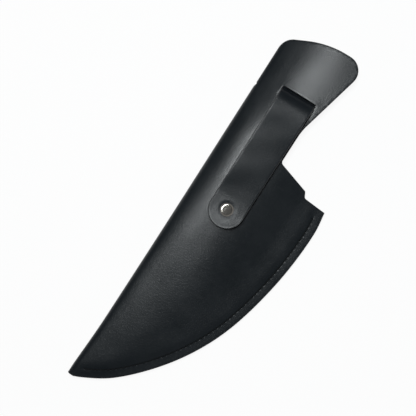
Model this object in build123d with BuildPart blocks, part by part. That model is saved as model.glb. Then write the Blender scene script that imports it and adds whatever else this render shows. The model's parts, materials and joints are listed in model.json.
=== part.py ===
"""Leather sheath for a wide curved blade, with a belt strap that closes on a snap.

The sheath lies on its front panel with the belt side up.  +X runs from the tip to the
end of the tongue, +Y points to the folded spine and +Z points away from the ground.
The origin is on the ground under the middle of the sheath.  Millimetres throughout.
"""

import os
from math import cos, radians, sin, sqrt, tan

from build123d import *

# ---- leather -------------------------------------------------------------------------------
leather = 2.0  # thickness of the folded hide
welt_thickness = 2.5  # spacer strip sewn between the two panels
welt_width = 10.0

# ---- pouch, measured from the tip and from the spine ---------------------------------------
pouch_length = 182.5  # tip to the heel corner of the mouth
pouch_width = 89.9  # spine to the deepest point of the belly
belly_shape = [  # shares of the pouch's length and width
    (0.069, 0.303),
    (0.185, 0.537),
    (0.32, 0.726),
    (0.47, 0.861),
    (0.71, 0.971),
]
belly_deepest = 0.92  # share of the length at which the belly is deepest
heel_rise = 1.7  # how far the heel corner lies inside the deepest point
tip_width = 14.0
mouth_lean = 1.1  # how far the heel's edge leans towards the tongue
heel_edge = 16.5  # length of the straight edge beside the heel corner
relief_radius = 1.8  # round relief at the end of that edge
step_height = 4.1  # rise of the mouth past the relief
mouth_rise = 7.1  # further rise of the mouth up to the tongue

# ---- dome of the belt side -----------------------------------------------------------------
fold_radius_tip = 3.25
fold_radius_mouth = 5.5
fold_wrap = 150.0  # degrees of the spine that the fold turns through
crest_tip = 6.5  # height of the dome at the tip, where the hide lies flat on the welt
crest_snap = 13.8
crest_mouth = 14.5
spine_lean = 2.4  # how far the spine drifts outwards at the tip
seam_flat = 12.0  # width of the flat band along the seam

# ---- tongue --------------------------------------------------------------------------------
tongue_length = 96.2  # heel corner to the end of the tongue
neck_margin = 1.4  # the tongue's neck past the strap's edge
tongue_flare = 60.3  # width at the end of the tongue before its corners are rounded
tongue_peak = 29.8  # where the end edge turns back towards the spine
neck_length = 25.0
neck_bend_radius = 40.0
tongue_corner_radius = 10.5
tongue_end_radius = 70.0
tongue_end_slope = 12.1  # how much shorter the spine side is
tongue_far_height = 10.5  # top of the tongue's far side, above the ground
fold_reach = 46.5  # heel corner to where the fold ends and the tongue stands free
tongue_setback = 0.5  # step in the spine edge at the end of the fold
front_mouth_dip = 12.0  # depth of the hollow curve in the front panel's mouth

# ---- belt strap ----------------------------------------------------------------------------
strap_width = 25.0
strap_thickness = 2.0
strap_across = 31.7  # centre line, from the spine
slit_reach = 56.5  # heel corner to the upper lip of the slit
slit_opening = 6.8
slit_clearance = 0.4  # each end of the slit
hinge_back = 4.0  # from the upper lip to the line where the strap bends
hinge_rise = 0.1  # of that line above the tongue
hinge_clearance = 0.2
belt_gap = 7.2  # clear height for the belt
belt_gap_start = 17.0  # from the slit to the first bend of the strap
belt_gap_length = 38.0
strap_landing = 10.0  # straight strap on the slit side of the snap
tab_lift = 1.3  # how far the free end of the tab stands up
anchor_width = 36.0
anchor_length = 11.0
anchor_gap = 0.1  # below the tongue
anchor_neck_back = 0.5  # from the upper lip to the bend in the neck
strap_bend_radius = 25.0
strap_ease_radius = 60.0
tab_bend_radius = 15.0

# ---- snap fastener -------------------------------------------------------------------------
snap_reach = 89.9  # upper lip of the slit to the snap
cap_diameter = 9.0
cap_height = 1.5
cap_rim = 0.5
ring_diameter = 8.6  # socket, stud base and post flange
shank_diameter = 3.2
shank_clearance = 0.05  # radial, in metal
hole_clearance = 0.1  # radial, in leather
rivet_rim = 0.2  # thickness of each turned-over rim
rivet_rim_width = 0.5
socket_height = 2.4
socket_web = 0.6
knob_diameter = 4.4
knob_neck_diameter = 4.0
stud_bore = 1.6  # depth of the stud's hollow, from its base
ring_round = 0.3  # rounding of the rings' outer edges
knob_height = 1.4
knob_clearance = 0.25  # radial, between stud and socket
stud_base = 0.6
snap_clearance = 0.1  # height between the socket and the stud base
post_flange = 0.8
seat_clearance = 0.2  # radial, round each flattened seat in the leather

# ---- stitching -----------------------------------------------------------------------------
stitch_inset = 6.0  # seam line inside the belly edge
stitch_pitch = 3.5
stitch_length = 2.7
stitch_thread = 0.7
stitch_dimple = 0.6  # depth that each stitch is pulled into the hide
dimple_clearance = 0.15  # round each stitch
thread_recess = 0.05  # how deep the thread lies below the hide's surface
stitch_start = 6.0  # from the mouth
stitch_end = 7.0  # from the tip

# ---- derived -------------------------------------------------------------------------------
overall_length = pouch_length + tongue_length
seam_height = 2 * leather + welt_thickness
slit_along = pouch_length + slit_reach
snap_along = slit_along - snap_reach
fold_end = pouch_length + fold_reach
neck_width = strap_across + strap_width / 2 + neck_margin
beyond = 10.0  # how far cutting shapes reach past what they cut
reach = pouch_width + seam_flat
ceiling = 2 * crest_mouth  # above everything
strap_y = pouch_width / 2 - strap_across
mouth_along = pouch_length + mouth_lean + step_height + mouth_rise
slit_mid = slit_along - slit_opening / 2
hinge_along = slit_along - hinge_back
hinge_z = crest_mouth + hinge_rise
stud_z = crest_snap
socket_z = stud_z + stud_base + snap_clearance
strap_z = socket_z + socket_height
cap_z = strap_z + strap_thickness
post_z = crest_snap - leather - post_flange
cap_radius = cap_diameter / 2
ring_radius = ring_diameter / 2
shank_radius = shank_diameter / 2
knob_radius = knob_diameter / 2
knob_neck_radius = knob_neck_diameter / 2


def at(along, across):
    """Plan position, from distances along the sheath and across it from the spine."""
    return (along - overall_length / 2, pouch_width / 2 - across)


def station(along, spine, fold, crest_across, crest, band_across, band):
    """One cross-section of the dome: where it is, its fold, its crest and its far band."""
    return {
        "along": along,
        "spine": spine,
        "fold": fold,
        "crest_across": crest_across,
        "crest": crest,
        "band_across": band_across,
        "band": band,
    }


def full_station(along, crest, band):
    return station(
        along,
        spine_lean,
        fold_radius_mouth,
        strap_across,
        crest,
        pouch_width - seam_flat,
        band,
    )


tip_station = station(
    0, 0, fold_radius_tip, tip_width / 3, crest_tip, tip_width / 2, seam_height
)
quarter_station = station(
    pouch_length / 4,
    spine_lean * 0.75,
    fold_radius_tip * 0.7 + fold_radius_mouth * 0.3,
    strap_across * 0.7,
    crest_tip * 0.65 + crest_snap * 0.35,
    pouch_width * 0.62 - seam_flat,
    seam_height,
)
snap_station = full_station(snap_along, crest_snap, seam_height)
mouth_station = full_station(mouth_along, crest_mouth, seam_height)
slit_station = full_station(slit_along, crest_mouth, tongue_far_height)
end_station = full_station(overall_length + leather, crest_mouth, tongue_far_height)


def dome_section(place, inset):
    """Closed section of the sheath, drawn inwards from its outer skin by inset."""
    fold_y = pouch_width / 2 - place["spine"] - place["fold"]
    radius = place["fold"] - inset
    turned = radians(fold_wrap - 90)
    rise = radians(180 - fold_wrap)
    fold_start = (fold_y, inset)
    fold_stop = (fold_y + radius * cos(turned), place["fold"] + radius * sin(turned))
    crest_y = pouch_width / 2 - place["crest_across"]
    crest_z = place["crest"] - inset
    band_y = pouch_width / 2 - place["band_across"]
    band_z = place["band"] - inset
    shoulder_y = fold_stop[0] - (crest_z - fold_stop[1]) / tan(rise)
    ease = (crest_y - band_y) * 0.4
    far_y = pouch_width / 2 - reach
    with BuildSketch(Plane.YZ.offset(place["along"] - overall_length / 2)) as section:
        with BuildLine():
            CenterArc((fold_y, place["fold"]), radius, -90, fold_wrap)
            Bezier(fold_stop, (shoulder_y, crest_z), (crest_y, crest_z))
            Bezier((crest_y, crest_z), (crest_y - ease, crest_z), (band_y + ease, band_z), (band_y, band_z))
            Polyline((band_y, band_z), (far_y, band_z), (far_y, inset), fold_start)
        make_face()
    return section.sketch


def loft_stations(stations, inset):
    """Solid under the dome through the given stations, inset from its outer skin."""
    with BuildPart() as form:
        loft([dome_section(place, inset) for place in stations])
    return form.part


pouch_stations = [tip_station, quarter_station, snap_station, mouth_station]
tongue_stations = [mouth_station, slit_station, end_station]
tongue_end_stations = [slit_station, end_station]


# ---- plan outline --------------------------------------------------------------------------
nose = (0, tip_width / 3)
heel = (pouch_length, pouch_width - heel_rise)
belly_points = [(pouch_length * x, pouch_width * y) for x, y in belly_shape]
belly_bottom = (pouch_length * belly_deepest, pouch_width)
relief = (pouch_length + mouth_lean, heel[1] - heel_edge)
step = (relief[0] + step_height, relief[1] - relief_radius)
root = (mouth_along, neck_width)
neck = (mouth_along + neck_length, neck_width)
far_corner = (overall_length, tongue_flare)
end_bend = (overall_length, tongue_peak)
near_corner = (overall_length - tongue_end_slope, spine_lean + tongue_setback)
tongue_start = (fold_end, spine_lean + tongue_setback)

with BuildSketch() as outline:
    with BuildLine() as belly:
        Spline(
            at(*nose),
            *[at(*point) for point in belly_points],
            at(*belly_bottom),
            tangents=[(0, -1), (1, 0)],
        )
        TangentArc(at(*belly_bottom), at(*heel), tangent=(1, 0))
    with BuildLine():
        FilletPolyline(
            at(*heel),
            at(*relief),
            at(*step),
            at(*root),
            at(*neck),
            at(*far_corner),
            at(*end_bend),
            at(*near_corner),
            at(*tongue_start),
            at(fold_end, -beyond),
            at(0, -beyond),
            at(*nose),
            radius=[
                relief_radius,
                relief_radius / 4,
                relief_radius,
                neck_bend_radius,
                tongue_corner_radius,
                tongue_end_radius,
                tongue_corner_radius,
                0,
                0,
                0,
            ],
        )
    make_face()

# ---- seam line and stitch places -----------------------------------------------------------
seam_line = belly.wire().offset_2d(stitch_inset, side=Side.LEFT, closed=False)
stitch_run = seam_line.length - stitch_start - stitch_end
stitch_count = int(stitch_run / stitch_pitch)
seam_first = stitch_end / seam_line.length
seam_last = seam_first + stitch_count * stitch_pitch / seam_line.length
stitched_line = seam_line.trim(seam_first, seam_last)
back_dimple_z = seam_height - stitch_dimple
thread_height = stitch_dimple - thread_recess


def stitch_row(floor, clearance):
    """Sketch of every stitch of the seam, or of the dimples that they lie in."""
    with BuildSketch(Plane.XY.offset(floor)) as row:
        for i in range(stitch_count):
            middle = (i + 0.5) / stitch_count
            spot = stitched_line @ middle
            with Locations(Location((spot.X, spot.Y), stitched_line.tangent_angle_at(middle))):
                SlotOverall(stitch_length + 2 * clearance, stitch_thread + 2 * clearance)
    return row.sketch


# ---- sheath body: one folded hide, two panels and the tongue -------------------------------
snap_spot = at(snap_along, strap_across)

with BuildSketch(Plane.XY.offset(-beyond)) as front_mouth:
    with BuildLine():
        ThreePointArc(
            at(*root),
            at((mouth_along + fold_end) / 2 - front_mouth_dip, (neck_width + spine_lean) / 2),
            at(fold_end, spine_lean),
        )
        Polyline(
            at(fold_end, spine_lean),
            at(fold_end, -beyond),
            at(overall_length + beyond, -beyond),
            at(overall_length + beyond, pouch_width),
            at(mouth_along, pouch_width),
            at(*root),
        )
    make_face()

with BuildPart() as sheath_body:
    add(loft_stations(pouch_stations, 0))
    add(loft_stations(tongue_stations, 0))
    extrude(outline.sketch, amount=ceiling, mode=Mode.INTERSECT)
    add(loft_stations(pouch_stations, leather), mode=Mode.SUBTRACT)
    add(loft_stations(tongue_stations, leather), mode=Mode.SUBTRACT)
    extrude(front_mouth.sketch, amount=beyond + fold_radius_mouth, mode=Mode.SUBTRACT)
    with BuildSketch(Plane.XY.offset(fold_radius_mouth)):
        with Locations(at(slit_mid, strap_across)):
            Rectangle(slit_opening, strap_width + 2 * slit_clearance)
    extrude(amount=ceiling, mode=Mode.SUBTRACT)
    with BuildSketch(Plane.XY.offset(fold_radius_mouth)):
        with Locations(snap_spot):
            Circle(shank_radius + hole_clearance)
    extrude(amount=ceiling, mode=Mode.SUBTRACT)
    with BuildSketch(Plane.XY.offset(crest_snap), Plane.XY.offset(crest_snap - leather)):
        with Locations(snap_spot):
            Circle(ring_radius + seat_clearance)
    snap_seats = sheath_body.pending_faces
    extrude(snap_seats[0], amount=leather, mode=Mode.SUBTRACT)
    extrude(snap_seats[1], amount=-leather, mode=Mode.SUBTRACT)
    sheath_body.pending_faces = []
    extrude(stitch_row(back_dimple_z, dimple_clearance), amount=leather, mode=Mode.SUBTRACT)
    extrude(stitch_row(stitch_dimple, dimple_clearance), amount=-leather, mode=Mode.SUBTRACT)

# ---- welt: spacer strip between the panels along the seam ----------------------------------
with BuildPart() as welt:
    with BuildSketch(Plane.XY.offset(leather)):
        trace(belly.line, 2 * welt_width)
        add(outline.sketch.moved(Location((0, 0, leather))), mode=Mode.INTERSECT)
    extrude(amount=welt_thickness)
    add(loft_stations(pouch_stations, leather), mode=Mode.INTERSECT)

# ---- thread --------------------------------------------------------------------------------
with BuildPart() as needle_thread:
    extrude(stitch_row(back_dimple_z, 0), amount=thread_height)

with BuildPart() as bobbin_thread:
    extrude(stitch_row(stitch_dimple, 0), amount=-thread_height)

# ---- belt strap and its anchor -------------------------------------------------------------
strap_half = strap_thickness / 2
strap_mid_z = strap_z + strap_half
belt_mid_z = crest_mouth + belt_gap + strap_half
anchor_top = leather + anchor_gap
anchor_mid_z = crest_mouth - anchor_top - strap_half
hinge_relief = strap_half * sqrt(2) + hinge_clearance  # clears the strap's corner at a right angle
side_plane = Plane.XZ.offset(-strap_y)


def side(along, height):
    """Point in the strap's side view."""
    return (along - overall_length / 2, height)


hinge_point = side(hinge_along, hinge_z)
first_bend = slit_along - belt_gap_start
second_bend = first_bend - belt_gap_length
tab_end = snap_along - strap_width / 2

with BuildPart() as belt_strap:
    with BuildSketch(side_plane):
        with BuildLine() as strap_line:
            FilletPolyline(
                hinge_point,
                side(first_bend, belt_mid_z),
                side(second_bend, belt_mid_z),
                side(snap_along + strap_landing, strap_mid_z),
                side(snap_along - cap_radius - strap_thickness, strap_mid_z),
                side(tab_end - strap_thickness, strap_mid_z + tab_lift),
                radius=[strap_bend_radius, strap_ease_radius, strap_ease_radius, tab_bend_radius],
            )
        trace(strap_line.line, strap_thickness)
        with Locations(hinge_point):
            Circle(strap_half)
    extrude(amount=strap_width / 2, both=True)
    with BuildSketch():
        with Locations(snap_spot):
            Circle(strap_width / 2)
        with Locations(at((snap_along + slit_along) / 2, strap_across)):
            Rectangle(slit_along - snap_along, strap_width)
    extrude(amount=ceiling, mode=Mode.INTERSECT)
    with BuildSketch():
        with Locations(snap_spot):
            Circle(shank_radius + hole_clearance)
    extrude(amount=ceiling, mode=Mode.SUBTRACT)

with BuildPart() as strap_anchor:
    add(loft_stations(tongue_end_stations, anchor_top))
    add(loft_stations(tongue_end_stations, anchor_top + strap_thickness), mode=Mode.SUBTRACT)
    with BuildSketch(Plane.XY.offset(fold_radius_mouth)):
        with Locations(at(slit_along + anchor_length / 2, strap_across)):
            Rectangle(anchor_length, anchor_width)
    extrude(amount=ceiling, mode=Mode.INTERSECT)
    with BuildSketch(side_plane):
        with BuildLine() as neck_line:
            Polyline(
                hinge_point,
                side(slit_along - anchor_neck_back, anchor_mid_z),
                side(slit_along, anchor_mid_z),
            )
        trace(neck_line.line, strap_thickness)
        with Locations(hinge_point):
            Circle(hinge_relief, mode=Mode.SUBTRACT)
    extrude(amount=strap_width / 2, both=True)

# ---- snap fastener -------------------------------------------------------------------------
snap_axis = Axis((snap_spot[0], snap_spot[1], 0), (0, 0, 1))
web_z = strap_z - socket_web
dome_rise = cap_height - cap_rim
dome_radius = (cap_radius**2 + dome_rise**2) / (2 * dome_rise)


def snap_disc(height, radius):
    """Circle on the snap's axis at a height, ready to extrude."""
    with BuildSketch(Plane.XY.offset(height)) as disc:
        with Locations(snap_spot):
            Circle(radius)
    return disc.sketch


with BuildPart() as snap_cap:
    with BuildSketch(side_plane):
        with BuildLine():
            RadiusArc(
                side(snap_along, cap_z + cap_height),
                side(snap_along + cap_radius, cap_z + cap_rim),
                dome_radius,
            )
            Polyline(
                side(snap_along + cap_radius, cap_z + cap_rim),
                side(snap_along + cap_radius, cap_z),
                side(snap_along, cap_z),
                side(snap_along, cap_z + cap_height),
            )
        make_face()
    revolve(axis=snap_axis)
    extrude(snap_disc(web_z - rivet_rim, shank_radius), amount=cap_z - web_z + rivet_rim)
    extrude(snap_disc(web_z - rivet_rim, shank_radius + rivet_rim_width), amount=rivet_rim)

with BuildPart() as snap_socket:
    extrude(snap_disc(socket_z, ring_radius), amount=socket_height)
    extrude(
        snap_disc(socket_z, knob_radius + knob_clearance),
        amount=socket_height - socket_web,
        mode=Mode.SUBTRACT,
    )
    extrude(snap_disc(web_z, shank_radius + shank_clearance), amount=socket_web, mode=Mode.SUBTRACT)
    fillet(snap_socket.edges().filter_by(GeomType.CIRCLE).group_by(SortBy.RADIUS)[-1], ring_round)

with BuildPart() as snap_stud:
    extrude(snap_disc(stud_z, ring_radius), amount=stud_base)
    extrude(snap_disc(stud_z + stud_base, knob_neck_radius), amount=knob_height)
    extrude(snap_disc(stud_z + stud_base + knob_height / 2, knob_radius), amount=knob_height / 2)
    extrude(snap_disc(stud_z, shank_radius + shank_clearance), amount=stud_bore, mode=Mode.SUBTRACT)

with BuildPart() as snap_post:
    extrude(snap_disc(post_z, ring_radius), amount=post_flange)
    fillet(snap_post.edges().group_by(Axis.Z)[0], ring_round)
    extrude(snap_disc(post_z + post_flange, shank_radius), amount=leather + stud_bore - snap_clearance)

# ---- write the parts -----------------------------------------------------------------------
os.makedirs("parts", exist_ok=True)

sheath_body.part.label = "sheath_body"
export_step(sheath_body.part, "parts/sheath_body.step")

welt.part.label = "welt"
export_step(welt.part, "parts/welt.step")

needle_thread.part.label = "needle_thread"
export_step(needle_thread.part, "parts/needle_thread.step")

bobbin_thread.part.label = "bobbin_thread"
export_step(bobbin_thread.part, "parts/bobbin_thread.step")

belt_strap.part.label = "belt_strap"
export_step(belt_strap.part, "parts/belt_strap.step")

strap_anchor.part.label = "strap_anchor"
export_step(strap_anchor.part, "parts/strap_anchor.step")

snap_cap.part.label = "snap_cap"
export_step(snap_cap.part, "parts/snap_cap.step")

snap_socket.part.label = "snap_socket"
export_step(snap_socket.part, "parts/snap_socket.step")

snap_stud.part.label = "snap_stud"
export_step(snap_stud.part, "parts/snap_stud.step")

snap_post.part.label = "snap_post"
export_step(snap_post.part, "parts/snap_post.step")
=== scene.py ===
import json
from math import atan, cos, pi, radians, sin, tan

import bpy
import numpy as np
from mathutils import Matrix, Vector
from mathutils.geometry import delaunay_2d_cdt

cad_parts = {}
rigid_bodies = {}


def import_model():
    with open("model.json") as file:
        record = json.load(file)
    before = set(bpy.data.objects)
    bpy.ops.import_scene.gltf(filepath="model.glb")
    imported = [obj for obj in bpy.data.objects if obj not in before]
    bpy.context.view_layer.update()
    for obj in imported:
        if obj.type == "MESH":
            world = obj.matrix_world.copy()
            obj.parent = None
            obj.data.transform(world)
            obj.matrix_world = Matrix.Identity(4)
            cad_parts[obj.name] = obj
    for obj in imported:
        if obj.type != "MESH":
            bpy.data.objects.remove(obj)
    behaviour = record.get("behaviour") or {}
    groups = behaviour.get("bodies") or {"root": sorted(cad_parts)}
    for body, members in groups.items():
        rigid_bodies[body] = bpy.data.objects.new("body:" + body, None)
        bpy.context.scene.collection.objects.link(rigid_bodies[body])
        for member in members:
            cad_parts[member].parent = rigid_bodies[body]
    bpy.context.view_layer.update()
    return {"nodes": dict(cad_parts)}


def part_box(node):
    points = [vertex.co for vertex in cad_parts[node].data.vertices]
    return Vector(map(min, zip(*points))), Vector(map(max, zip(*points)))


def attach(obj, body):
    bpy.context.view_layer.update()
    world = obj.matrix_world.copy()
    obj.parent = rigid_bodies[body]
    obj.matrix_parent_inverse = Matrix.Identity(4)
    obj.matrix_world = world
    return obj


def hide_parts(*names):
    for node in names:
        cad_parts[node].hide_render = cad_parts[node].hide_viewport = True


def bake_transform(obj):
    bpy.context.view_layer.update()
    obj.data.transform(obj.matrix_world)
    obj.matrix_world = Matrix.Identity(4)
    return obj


# Blender's own cube, lamp and camera go first
for startObject in list(bpy.data.objects):
    bpy.data.objects.remove(startObject)
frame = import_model()
print("frame loaded")

mm = 0.001
bodyLow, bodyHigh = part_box("sheath_body")
capLow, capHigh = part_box("snap_cap")
snapX = (capLow.x + capHigh.x) / 2
snapY = (capLow.y + capHigh.y) / 2

# the sheath is measured in mm, along from its tip and across from its spine
snapAlong = (snapX - bodyLow.x) / mm
strapAcross = (bodyHigh.y - snapY) / mm


def spot(along, across, height):  # sheath measures in mm to metres in the frame
    return np.stack([bodyLow.x + along * mm, bodyHigh.y - across * mm, height * mm], axis=-1)


# helpers for outlines and sheets

def smoothPath(points, perSpan=24):  # rounded curve through a few points
    p = np.array(points, float)
    chord = np.linalg.norm(np.diff(p, axis=0), axis=1) ** 0.5
    t = np.concatenate([[0], np.cumsum(chord)])
    slope = np.gradient(p, t, axis=0)
    u = np.linspace(0, 1, perSpan, endpoint=False)[:, None]
    out = []
    for i in range(len(p) - 1):
        h = t[i + 1] - t[i]
        out.append((2 * u**3 - 3 * u**2 + 1) * p[i] + (u**3 - 2 * u**2 + u) * h * slope[i]
                   + (3 * u**2 - 2 * u**3) * p[i + 1] + (u**3 - u**2) * h * slope[i + 1])
    return np.vstack(out + [p[-1:]])


def roundCorners(points, radii, steps=10):  # straight runs joined by arcs
    p = [np.array(q, float) for q in points]
    out = [p[0]]
    for before, corner, after, radius in zip(p, p[1:], p[2:], radii):
        a, b = before - corner, after - corner
        a, b = a / np.linalg.norm(a), b / np.linalg.norm(b)
        halfAngle = np.arccos(np.clip(a @ b, -1, 1)) / 2
        reach = radius / tan(halfAngle)
        centre = corner + (a + b) / np.linalg.norm(a + b) * radius / sin(halfAngle)
        start, stop = corner + a * reach - centre, corner + b * reach - centre
        turn = pi - 2 * halfAngle
        for k in np.linspace(0, 1, steps + 1):
            way = start * sin((1 - k) * turn) + stop * sin(k * turn)
            out.append(centre + way / sin(turn))
    return np.array(out + [p[-1]])


def runLength(path):
    return np.concatenate([[0], np.cumsum(np.linalg.norm(np.diff(path, axis=0), axis=1))])


def evenly(path, step):  # the same path with points an even step apart
    run = runLength(path)
    count = max(2, int(round(run[-1] / step)) + 1)
    at = np.linspace(0, run[-1], count)
    return np.stack([np.interp(at, run, path[:, k]) for k in range(path.shape[1])], axis=1)


def leftOf(path, closed=False):  # unit normals to the left of a flat path
    if closed:
        ahead = np.roll(path, -1, 0) - np.roll(path, 1, 0)
    else:
        ahead = np.gradient(path, axis=0)
    ahead = ahead / np.maximum(np.linalg.norm(ahead, axis=1, keepdims=True), 1e-9)
    return np.stack([-ahead[:, 1], ahead[:, 0]], axis=1)


def anticlockwise(loop):
    x, y = loop.T
    area = (x * np.roll(y, -1) - np.roll(x, -1) * y).sum()
    return loop if area > 0 else loop[::-1]


def circle(centre, radius, count):
    angles = np.linspace(0, 2 * pi, count, endpoint=False)
    return np.array([(centre[0] + radius * cos(k), centre[1] + radius * sin(k)) for k in angles])


def smoothStep(value):  # 0 to 1 with level ends
    value = np.clip(value, 0, 1)
    return value * value * (3 - 2 * value)


batch = 2000  # points handled at a time, which bounds the memory used


def nearest(points, others):  # distance from each point to the nearest of the others
    out = np.empty(len(points))
    for i in range(0, len(points), batch):
        gap = points[i:i + batch, None, :] - others[None, :, :]
        out[i:i + batch] = np.sqrt((gap**2).sum(2).min(1))
    return out


def insideLoops(points, loops):  # inside the outline and outside its holes
    inside = np.zeros(len(points), bool)
    for loop in loops:
        ax, ay = loop.T
        bx, by = np.roll(loop, -1, 0).T
        rise = np.where(by == ay, 1, by - ay)
        for i in range(0, len(points), batch):
            x, y = points[i:i + batch, 0:1], points[i:i + batch, 1:2]
            crosses = (ay > y) != (by > y)
            inside[i:i + batch] ^= (crosses & (x < ax + (y - ay) * (bx - ax) / rise)).sum(1) % 2 == 1
    return inside


def gridPoints(low, high, step):  # staggered rows, which triangulate evenly
    rowHeight = step * 0.866
    out = []
    for row, y in enumerate(np.arange(low[1], high[1], rowHeight)):
        xs = np.arange(low[0] + (row % 2) * step / 2, high[0], step)
        out.append(np.stack([xs, np.full(len(xs), y)], axis=1))
    return np.vstack(out)


def makeMesh(name, verts, faces, materials, indices=None):
    mesh = bpy.data.meshes.new(name)
    mesh.from_pydata([tuple(v) for v in verts], [], [tuple(int(i) for i in f) for f in faces])
    piece = bpy.data.objects.new(name, mesh)
    bpy.context.scene.collection.objects.link(piece)
    for material in materials:
        mesh.materials.append(material)
    if indices is not None:
        mesh.polygons.foreach_set("material_index", np.array(indices, np.int32))
    mesh.polygons.foreach_set("use_smooth", np.ones(len(mesh.polygons), bool))
    mesh.validate()
    mesh.update()
    return piece


def bandFaces(upper, lower):  # quads between two closed rings of vertex numbers
    return list(zip(upper, lower, np.roll(lower, -1), np.roll(upper, -1)))


def fillFlat(flat, rim):  # triangles between the rim's loops, all facing up
    edges, start = [], 0
    for loop in rim:
        count = len(loop)
        edges += [(start + i, start + (i + 1) % count) for i in range(count)]
        start += count
    found = delaunay_2d_cdt([Vector(p) for p in flat], edges, [], 0, 1e-6)
    source = np.array([o[0] if o else -1 for o in found[3]])
    faces = np.array([[source[i] for i in f] for f in found[2]])
    faces = faces[(faces >= 0).all(1)]
    faces = faces[insideLoops(flat[faces].mean(1), rim)]
    corners = flat[faces]
    turn = np.cross(corners[:, 1] - corners[:, 0], corners[:, 2] - corners[:, 0])
    faces[turn < 0] = faces[turn < 0][:, ::-1]
    return faces


# a sheet cut to an outline with holes, with rounded cut edges, laid where place(flat, depth) says
def cutSheet(name, outline, holes, inner, place, thickness, edge, materials):
    rimGap = 0.45  # from the rim to the nearest inner point
    rubWidth = 4.0  # how far in from a cut edge the finish may show wear
    loops = [anticlockwise(outline)] + [anticlockwise(h)[::-1] for h in holes]
    lefts = [leftOf(loop, closed=True) for loop in loops]
    rim = [loop + left * edge for loop, left in zip(loops, lefts)]
    flatRim = np.vstack(rim)
    inner = inner[insideLoops(inner, rim)]
    inner = inner[nearest(inner, flatRim) > rimGap]
    flat = np.vstack([flatRim, inner])
    faces = fillFlat(flat, rim)
    count = len(flat)
    verts = [place(flat, np.zeros(count)), place(flat, np.full(count, float(thickness)))]
    allFaces = [tuple(f) for f in faces] + [tuple(f[::-1] + count) for f in faces]
    indices = [0] * len(faces) + [1] * len(faces)
    # the cut edge: a quarter round, the middle, and a quarter round back
    quarter = [(edge * (1 - sin(a)), edge * (1 - cos(a))) for a in np.linspace(0, pi / 2, 5)]
    rings = quarter[1:] + [(0, thickness / 2)] + [(i, thickness - d) for i, d in reversed(quarter[1:])]
    nextVert, rimStart = 2 * count, 0
    for loop, left in zip(loops, lefts):
        around = len(loop)
        ids = [np.arange(around) + rimStart]
        for inset, depth in rings:
            verts.append(place(loop + left * inset, np.full(around, float(depth))))
            ids.append(np.arange(around) + nextVert)
            nextVert += around
        ids.append(np.arange(around) + rimStart + count)
        for upper, lower in zip(ids, ids[1:]):
            allFaces += bandFaces(upper, lower)
            indices += [2] * around
        rimStart += around
    piece = makeMesh(name, np.vstack(verts), allFaces, materials, indices)
    away = np.concatenate([nearest(flat, np.vstack(loops))] * 2)
    away = np.concatenate([away, np.zeros(len(piece.data.vertices) - len(away))])
    toEdge = piece.data.attributes.new("toEdge", "FLOAT", "POINT")
    toEdge.data.foreach_set("value", np.minimum(away / rubWidth, 1).astype(np.float32))
    return piece


# the sheath: one hide folded along the spine, with the belt side up
sheath = {
    "leather": 2.0,
    "welt": 2.5,
    "weltWidth": 10.0,
    "weltEdge": 0.3,
    "seamFlat": 5.0,  # level band along the belly
    "edge": 0.55,  # rounding of the cut edges
    # stations along the sheath, and what the section measures at each
    "along": [0, 45.6, 149.1, 194.8, 239.0, 283.0],
    "spine": [0, 1.8, 2.4, 2.4, 2.4, 2.4],
    "fold": [3.25, 3.93, 5.5, 5.5, 4.0, 3.7],
    "shoulder": [1.5, 2.1, 2.2, 2.5, 1.6, 1.5],  # how soon the dome levels out past the fold
    "crest": [6.5, 9.1, 13.8, 14.5, 14.5, 14.4],
    "crestAcross": [4.7, 22.2, 31.7, 33.0, 50.0, 52.0],
    "farHeight": [6.5, 6.5, 6.5, 6.5, 13.4, 13.8],
    # outline as along, across
    "belly": [(0, 4.7), (2.3, 10.0), (12.6, 27.2), (33.8, 48.3), (58.4, 65.3), (85.8, 77.4),
              (129.6, 87.3), (167.9, 89.9), (182.5, 88.2)],
    "tongueRoot": (194.8, 45.6),
    "mouth": [(182.5, 88.2), (183.6, 71.7), (187.7, 69.6), (194.8, 45.6), (219.8, 45.6), (278.7, 60.3),
              (278.7, 29.8), (266.6, 2.5), (232.0, 2.5)],
    "mouthRounding": [1.8, 0.6, 2.5, 40, 10.5, 70, 10.5],
    # where the front panel ends on the fold, and how its mouth dips between there and the tongue's root
    "foldEnd": 229.0,
    "frontDip": 12.0,
    "foldCut": [(231.0, 2.2), (229.8, 1.2), (229.2, 0.0), (228.9, -1.6), (228.7, -3.4), (228.5, -5.2),
                (228.4, -6.8)],
    "slit": (232.3, 239.0, 25.0),  # lower edge, upper lip, width
    "snapHole": 1.75,
    "gridStep": 2.0,
}

frontReach, backReach = 112, 118  # how far the section is worked out, well past the belly
sideSteps, quarterSteps = 60, 36


def stationValue(name, along):  # monotone curve through the stations
    x, y = np.array(sheath["along"], float), np.array(sheath[name], float)
    d = np.diff(y) / np.diff(x)
    m = np.zeros(len(x))
    both = d[:-1] * d[1:] > 0
    m[1:-1][both] = 2 * d[:-1][both] * d[1:][both] / (d[:-1] + d[1:])[both]
    m[0] = d[0]
    i = np.clip(np.searchsorted(x, along) - 1, 0, len(x) - 2)
    h = x[i + 1] - x[i]
    u = np.clip((along - x[i]) / h, 0, 1)
    return ((2 * u**3 - 3 * u**2 + 1) * y[i] + (u**3 - 2 * u**2 + u) * h * m[i]
            + (3 * u**2 - 2 * u**3) * y[i + 1] + (u**3 - u**2) * h * m[i + 1])


def foldCentre(along):  # across place of the fold's middle
    return stationValue("spine", along) + stationValue("fold", along)


bellyPath = smoothPath(sheath["belly"])
mouthPath = roundCorners(sheath["mouth"], sheath["mouthRounding"])


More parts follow.
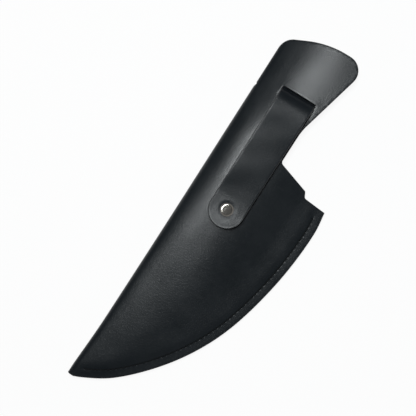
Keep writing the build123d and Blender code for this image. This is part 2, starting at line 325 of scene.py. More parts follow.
def sectionAt(along):  # across and height of the outer skin, from the front panel round to the back
    fold, crest, far = (stationValue(name, along) for name in ("fold", "crest", "farHeight"))
    belly = np.interp(along, bellyPath[:, 0], bellyPath[:, 1])
    centre = foldCentre(along)
    crestAcross = max(min(stationValue("crestAcross", along), 0.62 * belly), centre + 0.6)
    bend = stationValue("shoulder", along)
    rise = 0.5  # slope where the fold runs into the dome, found in a few rounds
    for tryAgain in range(6):
        foldTop = fold * (1 + cos(rise))
        rise = atan((crest - foldTop) * (bend + 1) / (crestAcross - centre + fold * sin(rise)))
    band = max(belly - sheath["seamFlat"], crestAcross + 1.5)
    front = np.stack([np.linspace(frontReach, centre, sideSteps), np.zeros(sideSteps)], axis=1)
    under, over = np.linspace(-pi / 2, 0, quarterSteps + 1), np.linspace(0, pi / 2 - rise, 25)
    angle = np.concatenate([under, over[1:]])
    arc = np.stack([centre - fold * np.cos(angle), fold + fold * np.sin(angle)], axis=1)
    u = np.linspace(0, 1, sideSteps)[:, None]
    top, end = np.array([crestAcross, crest]), np.array([band, far])
    climb = np.hstack([arc[-1, 0] + (top[0] - arc[-1, 0]) * u,
                       top[1] - (top[1] - arc[-1, 1]) * (1 - u) ** (bend + 1)])
    ease = (band - crestAcross) * 0.4
    fall = ((1 - u)**3 * top + 3 * u * (1 - u)**2 * (top + [ease, 0])
            + 3 * u**2 * (1 - u) * (end - [ease, -0.09 * ease]) + u**3 * end)
    flat = np.stack([np.linspace(band, backReach, sideSteps), np.full(sideSteps, far)], axis=1)
    path = np.vstack([front, arc[1:], climb[1:], fall[1:], flat[1:]])
    run = runLength(path)
    return path, run - run[sideSteps - 1 + quarterSteps]  # zero where the fold is furthest out


# the sections as a table: for each place along and each run from the fold, across and height
tableStep, tableRow = 0.5, 1.0
tableS = np.arange(-110, 112, tableStep)
tableA = np.arange(-1, 283, tableRow)
table = np.zeros((len(tableA), len(tableS), 2))
for row, along in enumerate(tableA):
    path, run = sectionAt(along)
    table[row] = np.stack([np.interp(tableS, run, path[:, k]) for k in range(2)], axis=1)
slopes = np.gradient(table, axis=1)
slopes /= np.linalg.norm(slopes, axis=2, keepdims=True)
print("sheath section worked out")


def fromTable(grid, flat):
    a = np.clip((flat[:, 0] - tableA[0]) / tableRow, 0, len(tableA) - 1.001)
    s = np.clip((flat[:, 1] - tableS[0]) / tableStep, 0, len(tableS) - 1.001)
    i, j = a.astype(int), s.astype(int)
    u, v = (a - i)[:, None], (s - j)[:, None]
    return ((1 - u) * (1 - v) * grid[i, j] + u * (1 - v) * grid[i + 1, j]
            + (1 - u) * v * grid[i, j + 1] + u * v * grid[i + 1, j + 1])


def toFlat(plan, side):  # plan position to the unfolded hide: back panel 1, front panel -1
    out = np.array(plan, float).copy()
    panel = tableS >= 0 if side > 0 else tableS <= 0
    for k, (along, across) in enumerate(out):
        a = np.clip((along - tableA[0]) / tableRow, 0, len(tableA) - 1.001)
        i, u = int(a), a - int(a)
        row = ((1 - u) * table[i] + u * table[i + 1])[panel, 0]
        s = tableS[panel]
        if side < 0:
            row, s = row[::-1], s[::-1]
        out[k, 1] = np.interp(across, row, s)
    return out


def onSkin(flat, stand):  # a point standing above the plain skin, and the way out of the skin
    way = fromTable(slopes, flat)
    outward = np.stack([-way[:, 1], way[:, 0]], axis=1)
    p = fromTable(table, flat) + outward * np.asarray(stand)[:, None]
    return p, outward


stitching = {
    "inset": 6.0,
    "pitch": 3.5,
    "fromTip": 7.0,
    "fromMouth": 5.0,
    "thread": 0.42,  # half the thread's width
    "dive": -0.62,  # height of a stitch's ends, from the plain skin
    "top": {1: -0.02, -1: -0.4},  # height of its middle, on the belt side and on the front
    "groove": {1: 0.09, -1: 0.38},  # depth of the line that the seam lies in
    "grooveWidth": 0.75,
    "pull": 0.26,  # how deep each hole is drawn in
    "pullWidth": 0.5,
    "press": 0.05,  # broader dent along the seam
    "pressWidth": 3.0,
    "around": 10,
    "steps": 15,
    "ply": 0.13,  # share of the thread's width that its twist shows
}

seamPlan = evenly(bellyPath, 0.5)
seamPlan = evenly(seamPlan - leftOf(seamPlan) * stitching["inset"], 0.25)
seamRun = runLength(seamPlan)
holeRun = np.arange(stitching["fromTip"], seamRun[-1] - stitching["fromMouth"], stitching["pitch"])
holePlan = np.stack([np.interp(holeRun, seamRun, seamPlan[:, k]) for k in range(2)], axis=1)
threaded = seamPlan[(seamRun > holeRun[0] - 1) & (seamRun < holeRun[-1] + 1)]
seamFlat = {side: toFlat(threaded, side) for side in (1, -1)}
holeFlat = {side: toFlat(holePlan, side) for side in (1, -1)}
rimFlat = {side: toFlat(evenly(bellyPath, 1.0), side) for side in (1, -1)}
print("stitch places worked out:", len(holePlan))

# how the leather strays from its plain shape, in mm
relief = {
    "skive": 0.7,  # how much thinner the leather is at the seam's edge
    "skiveWidth": 10.0,
    "wave": 0.16,
    "ripple": 0.035,
    "fineRipple": 0.012,
    "sink": 0.3,
    "foldCalm": (3.0, 12.0),  # the waves start here from the fold, and take this long to grow
    "seamCalm": (5.0, 9.0),
    "snapCalm": 150.0,  # the waves grow with the square of the way from the snap
    "snapSeat": 0.35,
    "snapSeatRadius": 6.5,
    # the leather beside the slit: places from its lower edge and its upper lip, and the heights there
    "slitBelow": [(-12, 0), (-6, -0.05), (0, -0.1)],
    "slitAbove": [(0, 0.16), (2.5, 0.08), (8, 0)],
    "slitFade": 3.0,
}

slitLow, slitHigh, slitWidth = sheath["slit"]
halfSlit = slitWidth / 2
snapFlat = toFlat([(snapAlong, strapAcross)], 1)[0]
lipFlat = toFlat([(slitHigh, strapAcross)], 1)[0]
slitPlaces = ([slitLow + a for a, height in relief["slitBelow"]]
              + [slitHigh + a for a, height in relief["slitAbove"]])
slitHeights = [height for a, height in relief["slitBelow"] + relief["slitAbove"]]


def seamRelief(p, side):
    fromSeam = nearest(p, seamFlat[side])
    groove = np.exp(-(fromSeam / stitching["grooveWidth"])**2) * stitching["groove"][side]
    pull = np.exp(-(nearest(p, holeFlat[side]) / stitching["pullWidth"])**2) * stitching["pull"]
    press = np.exp(-(fromSeam / stitching["pressWidth"])**2) * stitching["press"]
    skive = np.clip(1 - nearest(p, rimFlat[side]) / relief["skiveWidth"], 0, 1) ** 1.2 * relief["skive"]
    return groove + pull + press + skive


def backRelief(p):  # the belt side's waves, the snap's seat and the slit's lips
    a, s = p.T
    fromSnap = np.hypot(a - snapFlat[0], s - snapFlat[1])
    wave = (relief["wave"] * np.sin(a / 21 + 0.6) * np.sin(s / 15 + 0.4)
            + relief["ripple"] * np.sin(a / 9.3 + s / 12)
            + relief["fineRipple"] * np.sin(a / 4.1 - s / 5.7) - relief["sink"])
    foldStart, foldGrow = relief["foldCalm"]
    seamStart, seamGrow = relief["seamCalm"]
    wave = wave * np.clip((s - foldStart) / foldGrow, 0, 1)
    wave = wave * (1 - np.exp(-fromSnap**2 / relief["snapCalm"]))
    wave = wave * np.clip((nearest(p, seamFlat[1]) - seamStart) / seamGrow, 0, 1)
    seat = relief["snapSeat"] * np.exp(-(fromSnap / relief["snapSeatRadius"])**4)
    beside = smoothStep((halfSlit + relief["slitFade"] - np.abs(s - lipFlat[1])) / relief["slitFade"])
    return wave - seat + np.interp(a, slitPlaces, slitHeights) * beside


def hideRelief(flat, depth):  # how far the skin stands out from its plain shape
    out = np.zeros(len(flat))
    skin = np.clip(1 - depth / sheath["leather"], 0, 1)  # 1 outside, 0 inside
    for side in (1, -1):
        near = flat[:, 1] * side > 0
        if near.any():
            out[near] -= seamRelief(flat[near], side) * skin[near]
    back = flat[:, 1] > relief["foldCalm"][0]
    out[back] += backRelief(flat[back])
    return out


def onHide(flat, depth):
    p, outward = onSkin(flat, hideRelief(flat, depth) - depth)
    return spot(flat[:, 0], p[:, 0], np.maximum(p[:, 1], 0.01))


# finishes

class Wire:  # one output in a shader, which adds and multiplies like a number
    def __init__(self, output):
        self.output = output
        self.tree = output.id_data

    def maths(self, operation, *values):
        node = self.tree.nodes.new("ShaderNodeMath")
        node.operation = operation
        for place, value in zip(node.inputs, values):
            plug(place, value)
        return Wire(node.outputs[0])

    def __add__(self, other):
        return self.maths("ADD", self, other)

    def __radd__(self, other):
        return self.maths("ADD", other, self)

    def __sub__(self, other):
        return self.maths("SUBTRACT", self, other)

    def __rsub__(self, other):
        return self.maths("SUBTRACT", other, self)

    def __mul__(self, other):
        return self.maths("MULTIPLY", self, other)

    def __rmul__(self, other):
        return self.maths("MULTIPLY", other, self)

    def step(self, low, high):  # 0 below low, 1 above high, smooth between
        node = self.tree.nodes.new("ShaderNodeMapRange")
        node.interpolation_type = "SMOOTHSTEP"
        plug(node.inputs["Value"], self)
        node.inputs["From Min"].default_value = low
        node.inputs["From Max"].default_value = high
        return Wire(node.outputs[0])


def plug(place, value):
    if isinstance(value, Wire):
        place.id_data.links.new(value.output, place)
    elif isinstance(value, (tuple, list)) and len(value) == 3 and place.type == "RGBA":
        place.default_value = (*value, 1)
    else:
        place.default_value = value


class Finish:  # a material, or a world, built from named nodes
    def __init__(self, name, owner=None):
        self.owner = owner or bpy.data.materials.new(name)
        self.owner.use_nodes = True
        self.tree = self.owner.node_tree
        self.tree.nodes.clear()

    def add(self, kind, settings, inputs, output=0):
        node = self.tree.nodes.new("ShaderNode" + kind)
        for name, value in settings.items():
            setattr(node, name, value)
        for name, value in inputs.items():
            plug(node.inputs[name], value)
        return Wire(node.outputs[output]) if len(node.outputs) else node

    def place(self, *scale):  # the piece's own coordinates in mm, stretched
        here = self.add("TexCoord", {}, {}, "Object")
        return self.add("VectorMath", {"operation": "MULTIPLY"}, {0: here, 1: [k / mm for k in scale]})

    def noise(self, where, scale, detail=2.0, roughness=0.5, output=0):
        inputs = {"Vector": where, "Scale": scale, "Detail": detail, "Roughness": roughness}
        return self.add("TexNoise", {}, inputs, output)

    def mix(self, share, first, second):
        return self.add("Mix", {"data_type": "RGBA"}, {0: share, 6: first, 7: second}, 2)

    def bump(self, strength, height):
        return self.add("Bump", {}, {"Strength": strength, "Distance": mm, "Height": height})

    def shade(self, inputs):
        return self.add("BsdfPrincipled", {}, inputs)

    def done(self, surface, kind="OutputMaterial"):
        self.add(kind, {}, {"Surface": surface})
        return self.owner


leather = {
    "dark": (0.0060, 0.0082, 0.0102),
    "light": (0.0082, 0.0106, 0.0128),
    "rubbed": (0.016, 0.018, 0.0205),
    "roughness": 0.33,
    "shine": 0.25,
    "strapShine": 0.15,
    "pebble": 0.75,  # mm across one pebble of the grain
    "pebbleDepth": 0.020,
    "creaseDepth": 0.026,
    "fineDepth": 0.012,
    "bump": 0.55,
    "fleshDark": (0.012, 0.0125, 0.013),
    "fleshLight": (0.034, 0.0345, 0.035),
    "fleshNap": 0.12,
    "edgePaint": (0.009, 0.0098, 0.0108),
    "weltEdge": (0.013, 0.0125, 0.012),
    "edgeLayers": 0.09,
    "edgePits": 0.05,
}


def grainSide(name, shine):
    f = Finish(name)
    at = f.place(1, 1, 1)
    bend = f.noise(at, 0.35, 3.0)
    wobble = f.noise(at, 0.6, 2.0, output="Color")
    wobbly = f.add("VectorMath", {"operation": "ADD"}, {0: at, 1: wobble})
    pebbles = f.add("TexVoronoi", {"feature": "SMOOTH_F1"}, {
        "Vector": wobbly, "Scale": 1 / leather["pebble"], "Smoothness": 0.6, "Randomness": 0.9})
    creases = f.add("TexVoronoi", {"feature": "DISTANCE_TO_EDGE"}, {
        "Vector": wobbly, "Scale": 0.45 / leather["pebble"], "Randomness": 1.0})
    fine = f.noise(at, 6.0, 3.0, 0.6)
    cloud = f.noise(at, 0.045, 4.0, 0.55)
    rubs = f.noise(f.place(1, 0.15, 1), 0.35, 3.0, 0.6)
    edgeRub = 1 - f.add("Attribute", {"attribute_name": "toEdge"}, {}, "Fac").step(0.05, 0.5)
    colour = f.mix(cloud.step(0.3, 0.7), leather["dark"], leather["light"])
    colour = f.mix(edgeRub * 0.2 + rubs.step(0.62, 0.8) * 0.25, colour, leather["rubbed"])
    height = ((1 - pebbles) * leather["pebbleDepth"] + creases.step(0, 0.12) * leather["creaseDepth"]
              + fine * leather["fineDepth"])
    rough = (leather["roughness"] + (cloud - 0.5) * 0.12 + (bend - 0.5) * 0.08
             - edgeRub * 0.05 + rubs.step(0.6, 0.8) * 0.05)
    return f.done(f.shade({"Base Color": colour, "Roughness": rough, "Specular IOR Level": shine,
                           "Normal": f.bump(leather["bump"], height)}))


def fleshSide(name):
    f = Finish(name)
    nap = f.noise(f.place(1, 1, 1), 3.2, 5.0, 0.7)
    fibres = f.noise(f.place(0.25, 1, 1), 2.4, 4.0, 0.65)
    colour = f.mix((nap + fibres) * 0.5, leather["fleshDark"], leather["fleshLight"])
    return f.done(f.shade({"Base Color": colour, "Roughness": 0.86 + nap * 0.1, "Specular IOR Level": 0.3,
                           "Sheen Weight": 0.25, "Sheen Roughness": 0.5,
                           "Normal": f.bump(0.7, (nap + fibres) * leather["fleshNap"])}))


def cutEdge(name, base):
    f = Finish(name)
    layers = f.noise(f.place(0.5, 0.5, 3), 1.6, 4.0, 0.6)
    pits = f.noise(f.place(1, 1, 1), 2.2, 3.0, 0.6)
    colour = f.mix(layers, base, tuple(k * 1.9 for k in base))
    height = layers * leather["edgeLayers"] + pits * leather["edgePits"]
    return f.done(f.shade({"Base Color": colour, "Roughness": 0.5 + pits * 0.15, "Specular IOR Level": 0.5,
                           "Normal": f.bump(0.6, height)}))


metalwork = {
    "cap": (0.60, 0.57, 0.52),
    "capRoughness": 0.04,
    "rings": (0.55, 0.54, 0.52),
    "ringRoughness": 0.3,
    "tarnish": 0.35,
    "scratch": 0.0015,
    "smudge": 0.004,
}


def metal(name, colour, roughness):
    f = Finish(name)
    scratches = f.noise(f.place(1, 9, 1), 1.1, 4.0, 0.7)
    smudge = f.noise(f.place(1, 1, 1), 0.5, 3.0)
    tarnished = f.mix(smudge.step(0.45, 0.8) * metalwork["tarnish"], colour, tuple(k * 0.62 for k in colour))
    height = scratches * metalwork["scratch"] + smudge * metalwork["smudge"]
    return f.done(f.shade({"Base Color": tarnished, "Metallic": 1.0, "Normal": f.bump(0.25, height),
                           "Roughness": roughness + scratches * 0.02 + smudge * 0.04}))


threadColours = {
    "dark": (0.004, 0.0044, 0.0048),
    "light": (0.010, 0.011, 0.012),
    "fibre": 0.04,
}


def thread(name):
    f = Finish(name)
    fibre = f.noise(f.place(1, 1, 1), 7.0, 3.0, 0.7)
    colour = f.mix(fibre, threadColours["dark"], threadColours["light"])
    return f.done(f.shade({"Base Color": colour, "Roughness": 0.72 + fibre * 0.12, "Specular IOR Level": 0.07,
                           "Normal": f.bump(0.5, fibre * threadColours["fibre"])}))


blackLeather = grainSide("black leather", leather["shine"])
strapLeather = grainSide("strap leather", leather["strapShine"])
leatherBack = fleshSide("leather flesh side")
leatherEdge = cutEdge("leather edge", leather["edgePaint"])
weltEdge = cutEdge("welt edge", leather["weltEdge"])
nickel = metal("nickel", metalwork["cap"], metalwork["capRoughness"])
nickelRough = metal("nickel rings", metalwork["rings"], metalwork["ringRoughness"])
blackThread = thread("waxed thread")
print("finishes made")

belly = evenly(bellyPath, 1.0)
mouth = evenly(mouthPath, 0.8)


def frontMouth(root):  # the front panel's mouth, from the fold down and back up to the tongue's root
    end = np.array([sheath["foldEnd"], stationValue("spine", sheath["foldEnd"])])
    dip = (root + end) / 2 - [sheath["frontDip"], 0]
    points = [end + [-0.6, 2.6], dip + [7.4, -11.5], dip, dip + [-3.0, 11.0], root + [0.3, -2.5]]
    return evenly(smoothPath(points), 0.8)


def hidePattern():  # the outline of the unfolded hide
    rootRow = int(np.argmin(np.linalg.norm(mouth - sheath["tongueRoot"], axis=1)))
    backLoop = np.vstack([toFlat(belly, 1), toFlat(mouth, 1)[1:]])
    frontLoop = np.vstack([toFlat(frontMouth(mouth[rootRow]), -1), toFlat(mouth[:rootRow][::-1], -1),
                           toFlat(belly[::-1], -1)[1:]])
    tipCut = np.array([(0.0, s) for s in np.linspace(frontLoop[-1, 1], backLoop[0, 1], 9)[1:-1]])
    outline = np.vstack([backLoop, sheath["foldCut"], frontLoop, tipCut])
    spacing = np.linalg.norm(np.diff(outline, axis=0, append=outline[:1]), axis=1)
    return outline[spacing > 0.25]


def slitPattern():
    acrossWay = np.linspace(-halfSlit, halfSlit, 26)
    alongWay = np.linspace(slitHigh, slitLow, 8)[1:-1]
    return toFlat(np.vstack([[(slitHigh, strapAcross + v) for v in acrossWay],
                             [(a, strapAcross + halfSlit) for a in alongWay],
                             [(slitLow, strapAcross + v) for v in acrossWay[::-1]],
                             [(a, strapAcross - halfSlit) for a in alongWay[::-1]]]), 1)


def hideGrid():  # an even grid, with closer rows along both seams
    seamRows = (-1.5, -0.75, 0, 0.75, 1.5)
    grid = gridPoints((-1, -frontReach), (282, frontReach), sheath["gridStep"])
    rows = []
    for side in (1, -1):
        line = seamFlat[side]
        left = leftOf(line)
        grid = grid[nearest(grid, line) > 2.0]
        rows += [(line + left * off)[::2] for off in seamRows]
    return np.vstack([grid] + rows)


snapHole = toFlat(circle((snapAlong, strapAcross), sheath["snapHole"], 19), 1)
hide = cutSheet("sheathHide", hidePattern(), [slitPattern(), snapHole], hideGrid(), onHide,
                sheath["leather"], sheath["edge"], [blackLeather, leatherBack, leatherEdge])
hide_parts("sheath_body")
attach(hide, "root")
print("hide made:", len(hide.data.vertices))


# the welt between the panels, along the belly

def weltPattern():
    foldGap = 0.1  # from the welt to the fold's middle, near the tip
    outer = evenly(belly - leftOf(belly) * 0.3, 0.8)
    outer = outer[outer[:, 1] > 3.6]
    inner = evenly(belly - leftOf(belly) * sheath["weltWidth"], 0.8)
    limit = np.array([foldCentre(along) + foldGap for along, across in inner])
    inner = inner[(inner[:, 1] > limit) & (inner[:, 0] > 0.5)]
    spine = np.array([(a, foldCentre(a) + foldGap) for a in np.arange(0.4, 40, 1.0)])
    return np.vstack([outer, inner[::-1], spine[spine[:, 0] < inner[0, 0] - 0.5][::-1]])


def onWelt(flat, depth):
    fray = 0.1 * np.sin(flat[:, 0] * 1.7) * np.sin(depth * 2.1 + flat[:, 0] * 0.4)
    return spot(flat[:, 0], flat[:, 1] + fray, sheath["leather"] + sheath["welt"] - depth)


welt = cutSheet("weltStrip", weltPattern(), [], gridPoints((0, 0), (190, 92), 4.0), onWelt,
                sheath["welt"], sheath["weltEdge"], [weltEdge] * 3)
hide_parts("welt")
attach(welt, "root")


# the thread: each stitch is a short twisted cord that dives into its two holes

def stitchTube(a, b, number, top):
    steps, around = stitching["steps"], stitching["around"]
    t = np.linspace(0, 1, steps)
    arch = np.sin(pi * t)
    flat = a + (b - a) * t[:, None]
    stand = stitching["dive"] + (top - stitching["dive"]) * arch ** 0.45 + 0.02 * sin(number * 2.3)
    p, outward = onSkin(flat, stand)
    line = spot(flat[:, 0], p[:, 0], p[:, 1])
    ahead = np.gradient(line, axis=0)
    ahead /= np.linalg.norm(ahead, axis=1, keepdims=True)
    up = np.stack([np.zeros(steps), -outward[:, 0], outward[:, 1]], axis=1)
    side = np.cross(ahead, up)
    side /= np.linalg.norm(side, axis=1, keepdims=True)
    up = np.cross(side, ahead)
    ring = np.linspace(0, 2 * pi, around, endpoint=False)
    rings = []
    for i in range(steps):
        ply = 1 + stitching["ply"] * np.cos(2 * ring - 10 * t[i] + number)
        width = stitching["thread"] * (0.75 + 0.25 * arch[i] ** 0.5) * ply * mm
        rings.append(line[i] + side[i] * (np.cos(ring) * width)[:, None]
                     + up[i] * (np.sin(ring) * width * 0.78)[:, None])
    return np.vstack(rings)


def stitchRow(name, side, node):
    verts, faces = [], []
    steps, around = stitching["steps"], stitching["around"]
    holes = holeFlat[side]
    for number, (a, b) in enumerate(zip(holes, holes[1:])):
        start = number * around * steps
        verts.append(stitchTube(a, b, number, stitching["top"][side]))
        rings = start + np.arange(steps * around).reshape(steps, around)
        for ring, after in zip(rings, rings[1:]):
            faces += bandFaces(ring, after)
        faces += [tuple(rings[0]), tuple(rings[-1][::-1])]
    piece = makeMesh(name, np.vstack(verts), faces, [blackThread])
    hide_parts(node)
    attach(piece, "root")


stitchRow("needleStitches", 1, "needle_thread")
stitchRow("bobbinStitches", -1, "bobbin_thread")
print("welt and thread made")

# the belt strap: a T-shaped inner end, a turn up through the slit, and a round tab under the cap
strap = {
    "width": 25.0,
    "thickness": 2.0,
    "headWidth": 36.0,
    "headFrom": 239.6,  # place along the sheath where the inner end stops and the strap turns up
    "edge": 0.5,
    "headGap": 0.55,  # from the tongue's plain underside to the inner end
    # side view of the middle of the leather: along, height
    "path": [(250.6, 11.35), (245, 11.2), (241.2, 10.8), (239.3, 11.0), (237.8, 12.4), (237.2, 15.6),
             (236.2, 18.4), (234.2, 20.5), (231, 21.65), (227, 22.15), (221, 22.2), (213, 21.8), (205, 21.2),
             (196, 20.5), (187, 19.85), (178, 19.35), (170, 18.8), (163, 18.3), (157.5, 17.95), (149.1, 17.9),
             (143.5, 18.1), (140.0, 18.35), (136.6, 18.6)],
    "droop": 0.07,  # fall of both sides
    "lean": 0.06,  # tilt of the free part, spine side up
    "tipTwist": 0.085,  # rise of the tab towards its belly side
    "roll": 1.6,  # how far the strap's spine side sinks with the tongue at the slit
    "press": 0.16,  # dent under the cap
    "pressRadius": 4.4,
    "swell": 0.05,  # low ring round the dent
    "swellRadius": 7.0,
    "curl": 0.25,  # lift of the tab's rim
    "curlRadius": 8.3,
    "wave": 0.1,
    "ripple": 0.05,
    "capHole": 1.7,
    "capRings": (3.4, 4.6, 5.2, 5.9, 6.8),  # closer points round the cap
    "gridStep": 1.5,
}

strapSide = evenly(smoothPath(strap["path"]), 0.25)
sideRun = runLength(strapSide)
sideNormal = -leftOf(strapSide)
tabEnd = sideRun[-1]
halfStrap = strap["width"] / 2


def runAt(along):  # how far down the strap a place along the sheath is
    return float(np.interp(-along, -strapSide[:, 0], sideRun))


headEnd, snapRun = runAt(strap["headFrom"]), runAt(snapAlong)


def strapPattern():
    headHalf = strap["headWidth"] / 2
    tab = [(tabEnd - halfStrap + halfStrap * sin(k), -halfStrap * cos(k)) for k in np.linspace(0, pi, 44)]
    half = [(headEnd - 0.2, halfStrap), (headEnd - 0.6, headHalf - 0.4), (0.8, headHalf), (0, headHalf - 0.8)]
    otherHalf = [(x, -y) for x, y in half[::-1]]
    outline = np.array(tab + [(tabEnd - halfStrap - 0.3, halfStrap)] + half + otherHalf)
    return evenly(np.vstack([outline, outline[:1]]), 0.9)[:-1]


def strapFall(run, v, middle, inHead):  # how far the leather hangs below the side view's line
    fall = strap["droop"] * (np.abs(v) / halfStrap) ** 3 * (1 - inHead)
    fromTurn = np.exp(-((run - headEnd) / 9) ** 2)
    fall += strap["roll"] * (halfStrap - v) / strap["width"] * fromTurn * (1 - inHead)
    free = np.clip((227 - middle[:, 0]) / 10, 0, 1) * np.clip((middle[:, 0] - 156) / 12, 0, 1)
    fall += strap["lean"] * v * free
    tongue = fromTable(table, toFlat(np.stack([middle[:, 0], strapAcross + v], axis=1), 1))[:, 1]
    headMiddle = tongue - sheath["leather"] - strap["headGap"] - strap["thickness"] / 2
    return fall + (middle[:, 1] - headMiddle) * inHead


def strapRelief(run, v, skin, inHead):  # the cap's dent, the tab's rim and the waves
    fromSnap = np.hypot(run - snapRun, v)
    press = strap["press"] * np.exp(-np.clip(fromSnap - strap["pressRadius"], 0, None) ** 2 / 0.8) * skin
    swell = strap["swell"] * np.exp(-((fromSnap - strap["swellRadius"]) / 1.2) ** 2) * skin
    curl = strap["curl"] * np.clip((fromSnap - strap["curlRadius"]) / 4.2, 0, 1) ** 2
    curl = curl * np.clip((run - snapRun + 3) / 6, 0, 1)
    twist = smoothStep((run - snapRun + 8) / 20) * strap["tipTwist"] * v
    wave = (strap["wave"] * np.sin(run / 8.3 + 0.5) * np.sin(v / 7.1 + 0.8)
            + strap["ripple"] * np.sin(run / 3.7 + v / 5.3))
    wave = wave * np.clip((fromSnap - 7) / 8, 0, 1) * (1 - inHead)
    return swell - press + curl + twist + wave


def onStrap(flat, depth):
    run, v = flat.T
    middle = np.stack([np.interp(run, sideRun, strapSide[:, k]) for k in range(2)], axis=1)
    normal = np.stack([np.interp(run, sideRun, sideNormal[:, k]) for k in range(2)], axis=1)
    inHead = np.clip((headEnd + 2 - run) / 4, 0, 1)
    stand = strap["thickness"] / 2 - depth - strapFall(run, v, middle, inHead)
    stand += strapRelief(run, v, 1 - depth / strap["thickness"], inHead)
    p = middle + normal * stand[:, None]
    return spot(p[:, 0], strapAcross + v, p[:, 1])


def strapGrid():
    clearRing = strap["capRings"][-1] + 0.6
    grid = gridPoints((0, -20), (tabEnd + 1, 20), strap["gridStep"])
    grid = grid[np.hypot(grid[:, 0] - snapRun, grid[:, 1]) > clearRing]
    return np.vstack([grid] + [circle((snapRun, 0), r, int(r * 8)) for r in strap["capRings"]])


capHole = circle((snapRun, 0), strap["capHole"], 19)
belt = cutSheet("beltStrap", strapPattern(), [capHole], strapGrid(), onStrap, strap["thickness"],
                strap["edge"], [strapLeather, leatherBack, leatherEdge])
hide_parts("belt_strap", "strap_anchor")
spot(241, strapAcross, 11.4).tolist()
spot(229, strapAcross, 19).tolist()
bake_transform(belt)
print("strap made:", len(belt.data.vertices))

# the snap: its cap is turned, and the socket, stud and post keep their CAD shape
snap = {
    "capRadius": 4.5,
    "capHeight": 1.45,  # above the strap
    "capFoot": 1.5,  # from the top of the CAD cap down to the strap
    "rim": 0.62,  # height where the sloping edge starts
    "bevel": 0.95,  # width of the sloping edge
    # underside and shank: radius, height
    "shank": [(1.6, -3.2), (1.6, -0.4), (3.4, -0.4), (4.0, -0.36), (4.3, -0.2), (4.45, 0.0)],
    "around": 72,
}


def turned(name, profile, foot, finish):  # a profile of radius and height spun about the snap's axis
    around = snap["around"]
    verts = [(snapX + x * mm, snapY + y * mm, foot + h * mm)
             for r, h in profile for x, y in circle((0, 0), r, around)]
    rings = np.arange(len(verts)).reshape(len(profile), around)
    faces = []
    for ring, after in zip(rings, rings[1:]):
        faces += zip(ring, np.roll(ring, -1), np.roll(after, -1), after)
    faces += [tuple(rings[0][::-1]), tuple(rings[-1])]
    return makeMesh(name, verts, faces, [finish])


r, h = snap["capRadius"], snap["capHeight"]
capTop = [(r, 0.1), (r, snap["rim"]), (r - snap["bevel"], h - 0.04), (0.1, h)]
capProfile = snap["shank"] + list(evenly(roundCorners(capTop, [0.2, 0.5]), 0.12))
cap = turned("snapCap", capProfile, capLow.z, nickel)
cap.location.z = capHigh.z - snap["capFoot"] * mm - capLow.z  # stands on the strap
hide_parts("snap_cap")
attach(cap, "strap")

for node in ("snap_socket", "snap_stud", "snap_post"):
    ring = frame["nodes"][node]
    ring.data.materials.clear()
    ring.data.materials.append(nickelRough)
print("snap made")

stage = {
    "floor": (0.88, 0.88, 0.88),
    "floorDrop": 0.0002,
    "floorRings": (0.3, 0.8, 1.6, 3.0),
    "floorAround": 96,
    "glow": 0.9,  # share of the floor that is simply white to the camera, and in gloss
    "surround": 0.22,  # brightness of the room low down
    "ceiling": 0.05,
}


def whiteFloor():
    f = Finish("floor")
    rays = [f.add("LightPath", {}, {}, "Is %s Ray" % kind) for kind in ("Camera", "Glossy", "Transmission")]
    tone = f.noise(f.place(0.02, 0.02, 0.02), 1.0, 2.0)
    paper = f.shade({"Base Color": f.mix(tone, stage["floor"], tuple(k * 0.97 for k in stage["floor"])),
                     "Roughness": 0.9 + tone * 0.05, "Specular IOR Level": 0.1})
    glow = f.add("Emission", {}, {"Color": (1, 1, 1), "Strength": 1.0})
    seen = rays[0] + rays[1] + rays[2]
    return f.done(f.add("MixShader", {}, {0: seen * stage["glow"], 1: paper, 2: glow}))


def whiteWorld():  # a room that is dark overhead, and plain white to the camera
    world = bpy.data.worlds.new("studio")
    bpy.context.scene.world = world
    f = Finish("studio", world)
    up = f.add("SeparateXYZ", {}, {"Vector": f.add("TexCoord", {}, {}, "Generated")}, "Z").step(0.35, 0.85)
    walls, ceiling, white = (f.add("Background", {}, {"Color": (1, 1, 1), "Strength": strength})
                             for strength in (stage["surround"], stage["ceiling"], 1.0))
    room = f.add("MixShader", {}, {0: up, 1: walls, 2: ceiling})
    seen = f.add("LightPath", {}, {}, "Is Camera Ray")
    f.done(f.add("MixShader", {}, {0: seen, 1: room, 2: white}), "OutputWorld")


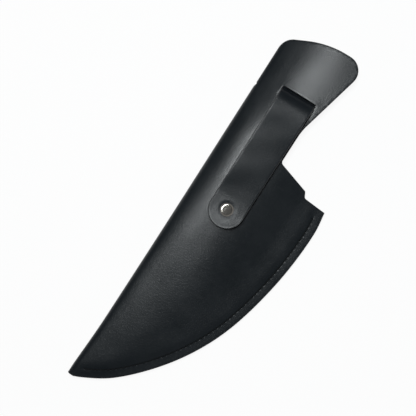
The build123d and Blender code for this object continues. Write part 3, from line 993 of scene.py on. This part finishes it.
def makeFloor():
    around = stage["floorAround"]
    verts = [(x, y, -stage["floorDrop"]) for r in stage["floorRings"] for x, y in circle((0, 0), r, around)]
    rings = np.arange(len(verts)).reshape(-1, around)
    faces = [tuple(rings[0])]
    for ring, after in zip(rings, rings[1:]):
        faces += bandFaces(ring, after)
    floor = makeMesh("floor", verts, faces, [whiteFloor()])


mainLight = {
    "at": (0.13, 0.16, 0.95),
    "size": (0.40, 0.18),
    "power": 8.3,
    "colour": (0.95, 0.99, 1.0),
}
fillLight = {
    "at": (-0.5, -0.9, 0.8),
    "size": (0.9, 0.9),
    "power": 0.5,
    "colour": (1, 1, 1),
}


def softbox(name, look):  # a flat lamp that faces the sheath, long side along it
    light = bpy.data.lights.new(name, "AREA")
    light.shape = "RECTANGLE"
    light.size, light.size_y = look["size"]
    light.energy = look["power"]
    light.color = look["colour"]
    holder = bpy.data.objects.new(name, light)
    bpy.context.scene.collection.objects.link(holder)
    back = Vector(look["at"]).normalized()
    along = (Vector((1, 0, 0)) - back * back.x).normalized()
    holder.matrix_world = Matrix((along, back.cross(along), back)).transposed().to_4x4()
    holder.location = look["at"]


camera = {
    "over": (4.1, 24.4),  # mm from the frame's middle
    "viewWidth": 277.3,
    "subjectHeight": 9.0,  # height at which the view is that wide
    "lens": 100.0,
    "sensor": 36.0,
    "turn": -57.5,
}


def makeCamera():
    lens = bpy.data.cameras.new("camera")
    lens.lens = camera["lens"]
    lens.sensor_width = camera["sensor"]
    viewer = bpy.data.objects.new("camera", lens)
    bpy.context.scene.collection.objects.link(viewer)
    height = camera["viewWidth"] * camera["lens"] / camera["sensor"] + camera["subjectHeight"]
    viewer.location = (camera["over"][0] * mm, camera["over"][1] * mm, height * mm)
    viewer.rotation_euler = (0, 0, radians(camera["turn"]))
    bpy.context.scene.camera = viewer


whiteWorld()
makeFloor()
softbox("mainLight", mainLight)
softbox("fillLight", fillLight)
makeCamera()
bpy.context.scene.view_settings.view_transform = "Standard"

print("scene ready")
